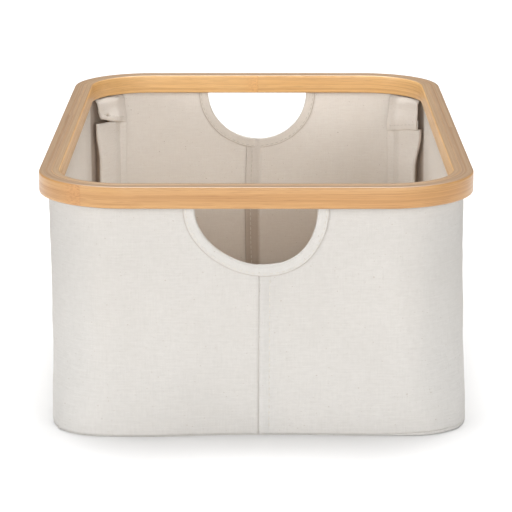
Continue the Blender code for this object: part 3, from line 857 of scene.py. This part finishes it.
def build_sleeve(label, sx, sy, seed):
    z = np.linspace(SLEEVE_LOW, SLEEVE_TOP[label], 64)
    first, last, high, low = FOLD_PULL[label]
    count = 100
    points, faces_in = np.zeros((2, count, len(z), 3))
    for j, h in enumerate(z):
        path = sleeve_plan((first + (last - first) * float(ease(-h, -high, -low))) * MM)
        lengths = path_lengths(path)
        along = np.linspace(0, lengths[-1], count)
        plan = along_path(path, lengths, along)
        plan[1:-1] = (plan[:-2] + 2 * plan[1:-1] + plan[2:]) / 4
        tangent = directions(plan)
        normal = np.stack([tangent[:, 1], -tangent[:, 0]], 1)
        share = along / along[-1]
        inner = ease(share, 0.52, 0.6) * (1 - ease(share, 0.88, 1))
        soft = wander(np.stack([along, np.full(count, h * 0.6)], 1), 42, seed)
        plan = plan + normal * (0.22 * MM * soft * inner)[:, None]
        points[:, j] = np.column_stack([(plan + CORNER) * (sx, sy), np.full(count, h)])
        faces_in[:, j, :2] = normal * (sx, sy)
    coords = np.stack(np.broadcast_arrays(along[:, None], z, 2.0 + seed * 0.1), -1)
    obj = grid(f"sleeve_{label}_cloth", points, coords, [lit_inner_canvas])
    # painted shade on the sleeve's cloth in the crevice between the wall and its fold
    tone(obj, np.broadcast_to(0.75 * (1 - ease(share, 0.49, 0.53))[:, None], coords.shape[:2]), "crease_shade")
    thicken(obj, CANVAS, 0)
    fit(obj, "bin", "sleeve_" + label)
    # sewn through at its tail and across both ends
    sewn = points + faces_in * (CANVAS / 2 + ON_FACE)
    tail = int(np.argmin(np.abs(along - (along[-1] - 3.4 * MM))))
    shown = (share > 0.55) & (share < 0.97)
    rows = {"tail": (tail, slice(None))}
    for name, level in (("low", 0.0155), ("high", SLEEVE_TOP[label] - 3 * MM)):
        rows[name] = (shown, int(np.argmin(np.abs(z - level))))
    for name, row in rows.items():
        stitch_row(f"sleeve_{label}_{name}_stitches", sewn[row], faces_in[row], "bin")


def build_strut(label, sx, sy):
    """Turned stick, very slightly uneven, with rounded ends."""
    x, y = (CORNER + polar(STRUT_R, STRUT_AT)) * (sx, sy)
    r, low, high = STRUT_D / 2, 1.3 * MM, STRUT_TOP
    end = [(0.9 * MM, 0), (0.35 * MM, 0.25 * MM), (0, 1 * MM)]  # (narrower by, distance from the end)
    levels = [(r - less, low + up) for less, up in end]
    levels += [(r * (1 + 0.006 * sin(9 * t)), low + 1 * MM + (high - low - 2 * MM) * t)
               for t in np.linspace(0.04, 0.96, 18)]
    levels += [(r - less, high - down) for less, down in end[::-1]]
    a = np.linspace(0, 2 * pi, 29)[:-1]
    points = np.stack([np.column_stack([x + rr * np.cos(a), y + rr * np.sin(a), np.full(len(a), z)])
                       for rr, z in levels])
    obj = grid(f"strut_{label}_stick", points, points, [strut_wood], close_v=True, caps=True, flip=True,
               sharp=60)
    fit(obj, "bin", "strut_" + label)


HINGE_R, FLAP_ROOT_R, FLAP_ROOT_Z = 48.3 * MM, 46.9 * MM, 0.1592
HEM_R, HEM_UP, FLAP_TURNED = 0.6 * MM, 6.5 * MM, 11 * MM  # hem's fold and height; cloth in hem and seam
FLAP_FACING = polar(1.0, 37.0)
FLAP_SIDEWAYS = polar(1.0, 127.0)
# places of each flap's ends in mm from its middle, how much wider it gets down to its free edge, and
# the heights of that edge at the side wall's end and at the end wall's end
FLAPS = {"front_left": ((-16, 15), 0.0, (0.133, 0.1312)),
         "front_right": ((-16, 15), 0.0, (0.1325, 0.131)),
         "back_left": ((-13.2, 21.5), -3.4 * MM, (0.1434, 0.1362)),
         "back_right": ((-14.2, 22), 1.2 * MM, (0.1352, 0.129))}


def flap_hang(label, across):
    """How far from the corner's centre a flap hangs, smooth and clear of the sleeve behind it."""
    sleeve = sleeve_plan(FOLD_PULL[label][0] * MM)
    sleeve = sleeve[len(sleeve) // 2:]
    sleeve = sleeve[np.argsort(sleeve @ FLAP_SIDEWAYS)]
    free = (45.9 + 3.5 * ease(across, 8 * MM, 14 * MM)) * MM
    clear = (1.65 + 0.75 * ease(across, 4 * MM, 12 * MM)) * MM
    r = np.minimum(np.interp(across, sleeve @ FLAP_SIDEWAYS, sleeve @ FLAP_FACING) - clear, free)
    for _ in range(6):
        r[1:-1] = np.minimum(r[1:-1], (r[:-2] + 2 * r[1:-1] + r[2:]) / 4)
    return r


def flap_rows(inward, low_z):
    """Depths and heights of a flap from its root over the strut's end, down, and up inside its hem."""
    shoulder = STRUT_TOP - 1.5 * MM - FLAP_ROOT_Z
    depth, height = [], []
    for k in np.concatenate([np.linspace(0, 1, 15), np.linspace(1, 2, 13)[1:]]):
        quick = sin(pi / 2 * min(k * 2.0, 1))
        depth.append(inward * (0.4 * quick + 0.6 * min(k / 1.7, 1)))
        height.append(shoulder * min(k, 1) + (low_z - shoulder) * max(k - 1, 0))
    for a in np.linspace(0, pi, 7)[1:]:
        depth.append(inward - HEM_R * (1 - cos(a)))
        height.append(low_z - HEM_R * sin(a))
    for k in np.linspace(0, 1, 5)[1:]:
        depth.append(inward - 2 * HEM_R)
        height.append(low_z + HEM_UP * k)
    return np.stack(depth, 1), np.stack(height, 1)


def build_flap(label, sx, sy, seed):
    """Cloth flap sewn in under the rim, hemmed along its free edge, over the strut's end."""
    span, flare, (outer_z, inner_z) = FLAPS[label]
    across = np.linspace(*span, 43) * MM
    low_z = np.linspace(outer_z, inner_z, 43) - FLAP_ROOT_Z + HEM_R
    depth, height = flap_rows(FLAP_ROOT_R - flap_hang(label, across), low_z)
    uu = np.broadcast_to(across[:, None], depth.shape)
    soft = wander(np.stack([uu.ravel(), height.ravel()], 1), 55, seed).reshape(uu.shape)
    depth = depth + 0.5 * MM * np.abs(soft) * ease(-height, 3 * MM, 22 * MM)
    depth = depth + 1 * MM * ease(-height, 8 * MM, 19 * MM)
    depth = depth - 0.5 * MM * ease(uu, across[-1] - 4 * MM, across[-1])
    dimple = np.zeros_like(uu)
    if label == "back_left":  # the strut's end pushes the cloth out, beside a small dimple
        depth = depth + 1.3 * MM * bump(uu, 5 * MM, 9 * MM) * ease(-height, 6 * MM, 18 * MM)
        dimple = bump(uu, -3.6 * MM, 2 * MM) * bump(height, -14.4 * MM, 1.2 * MM)
    depth = depth - 1.9 * MM * dimple
    # wider or narrower towards its free edge
    uu = uu - flare * ease(-height, 0, 22 * MM) * ease(-uu, 0, 13 * MM)
    # at its very top it is sewn in further out, under the rim
    depth = depth - (HINGE_R - FLAP_ROOT_R) * (1 - ease(-height, 0, 3.4 * MM))
    flat = CORNER + FLAP_SIDEWAYS * uu[..., None] + FLAP_FACING * (FLAP_ROOT_R - depth)[..., None]
    points = np.dstack([flat * (sx, sy), FLAP_ROOT_Z + height])
    coords = np.dstack([uu, height, np.full_like(uu, 4.0 + seed)])
    obj = grid(f"strut_flap_{label}_cloth", points, coords, [lit_inner_canvas])
    # painted shade: the whole flap a little darker, as it faces the light more than the wall, and darker in
    # its dimple
    tone(obj, 0.13 + 0.5 * dimple)
    thicken(obj, CANVAS, 0)
    body = "flap_" + label
    fit(obj, body, "strut_flap_" + label)
    face = np.append(-FLAP_FACING * (sx, sy), 0.0)
    edge_row = len(height[0]) - 11  # the last row before the hem
    row = points[2:-2, edge_row] + (0, 0, 3.4 * MM) + face * (CANVAS / 2 + ON_FACE)
    stitch_row(f"strut_flap_{label}_stitches", row, face, body)


# ---------- base board
BOARD = dict(half_w=0.1345, half_d=0.212, r=0.065)
BOARD_LOW = 1.3 * MM


def board_rings(section, s):
    """Rings round the board from a section of (inset, height) in mm."""
    place, normal = outline(s, **BOARD)
    return [np.column_stack([place - normal * inset * MM, np.full(len(s), z * MM + BOARD_LOW)])
            for inset, z in section]


def build_board_plate(s):
    """Bare board with slightly worn edges."""
    rows = board_rings([(40, 1.1), (1.7, 1.1), (1.25, 1.3), (1.1, 1.8), (1.1, 3.5), (1.3, 4.0), (1.8, 4.1),
                        (40, 4.1)], s)
    low, high = [[row * (k, k, 1) for k in (0.05, 0.5)] for row in (rows[0], rows[-1])]
    points = np.stack(low + rows + high[::-1])
    obj = grid("base_board_plate", points, points, [fibreboard], close_v=True, caps=True, sharp=50, flip=True)
    fit(obj, "board", "base_board")


def build_board_cover(s):
    """Cloth over the top, round the edge and turned under, with small pleats in the bends."""
    place, _ = outline(s, **BOARD)
    near = [ease(np.abs(place[:, c]), half - 60 * MM, half - 30 * MM)
            for c, half in enumerate((BOARD["half_w"], BOARD["half_d"]))]
    pleat = np.abs(np.sin(s / (4.4 * MM))) * np.minimum(*near)
    section = [(15.0, 0.45), (12.0, 0.45), (8.0, 0.43), (4.0, 0.4), (1.6, 0.42), (0.8, 0.7), (0.45, 1.3),
               (0.4, 2.4), (0.45, 3.6), (0.85, 4.4), (1.7, 4.78), (3.0, 4.85), (6.0, 4.85)]
    rows = board_rings(section, s)
    for k in range(5):  # the turned-under part
        rows[k][:, 2] -= 0.1 * MM * pleat * ease(section[k][0], 1.5, 5.0)
    rows[0][:, :2] *= 1 + 0.004 * wander(s, 30, 17)[:, None]
    rim = rows[-1]
    for t in np.linspace(0.04, 0.97, 24):
        flat = rim[:, :2] * (1 - t)
        wavy = 0.13 * MM * wander(flat, 24, 19) * ease(t, 0, 0.15)
        rows.append(np.column_stack([flat, rim[:, 2] + wavy]))
    points = np.stack(rows)
    obj = grid("base_board_cover_cloth", points, points * (1, 1, 0) + (0, 0, 9), [cover_cloth], close_v=True,
               flip=True)
    close_middle(obj.data, len(s))
    thicken(obj, 0.8 * MM, 0)
    fit(obj, "board", "base_board_cover")


def close_middle(mesh, count):
    """One face over a mesh's last ring of points."""
    bm = bmesh.new()
    bm.from_mesh(mesh)
    bm.verts.ensure_lookup_table()
    bm.faces.new(bm.verts[-count:]).smooth = True
    bmesh.ops.recalc_face_normals(bm, faces=bm.faces[:])
    bm.to_mesh(mesh)
    bm.free()


# ---------- stage
FLOOR_HALF = 9.0
# name: place, size and power of each softbox, all turned to the bin
SOFTBOXES = {
    "side_left": ((-2.7, -1.7, 0.9), (1.5, 0.7), 38),
    "front_low": ((0.2, -3.3, 0.8), (1.5, 0.7), 28),
    "front_right": ((1.9, -2.6, 1.4), (1.7, 1.7), 37),
    "front_left": ((-1.2, -3.0, 1.5), (1.7, 1.7), 12),
    "overhead": ((0.0, 0.75, 2.9), (2.3, 2.3), 146),
}
LIT_POINT = Vector((0, 0, 0.08))


def build_floor():
    """White floor, which glows a little far from the bin."""
    m = Shader("studio_floor_white")
    far = m.node("ShaderNodeVectorMath", {0: m.where}, operation="LENGTH").outputs["Value"]
    m.finish(Base_Color=(0.865, 0.865, 0.865), Roughness=0.95, Specular_IOR_Level=0.1,
             Emission_Color=(1, 1, 1), Emission_Strength=m.ramp(far, 1.5, 3.0, 0.0, 0.6, True))
    square = np.array([[(x, y, 0.0) for y in (-1, 1)] for x in (-1, 1)]) * FLOOR_HALF
    grid("studio_floor", square, square, [m.mat])


def build_lights():
    world = bpy.data.worlds.new("studio_light")
    world.use_nodes = True
    colour, strength = world.node_tree.nodes["Background"].inputs[:2]
    colour.default_value, strength.default_value = (1, 1, 1, 1), 0.08
    bpy.context.scene.world = world
    for name, (place, size, power) in SOFTBOXES.items():
        data = bpy.data.lights.new(name, "AREA")
        data.shape, data.energy = "RECTANGLE", power
        data.size, data.size_y = size
        light = add_object(name, data)
        light.location = place
        light.rotation_euler = (LIT_POINT - Vector(place)).to_track_quat("-Z", "Y").to_euler()


def build_camera():
    data = bpy.data.cameras.new("photo_view")
    data.sensor_width, data.lens = 36.0, 168.75
    camera = add_object("photo_view", data)
    camera.location = (2.95 * MM, -1.78767, 0.51711)
    camera.rotation_euler = (radians(90 - 14.004), 0, radians(0.109))
    bpy.context.scene.camera = camera
    bpy.context.scene.view_settings.view_transform = "Standard"


build_camera()
build_floor()
build_lights()
build_rim()
build_walls()
build_bottom()
for label, sy in (("front", -1), ("back", 1)):
    build_binding(label, sy)
    build_end_seam(label, sy)
for number, (label, (sx, sy)) in enumerate(CORNERS.items()):
    build_sleeve(label, sx, sy, 40 + number)
    build_strut(label, sx, sy)
    build_flap(label, sx, sy, 50 + number)
board_stops = ring_stops(**BOARD, bend_steps=28, straight_step=7 * MM)
build_board_plate(board_stops)
build_board_cover(board_stops)
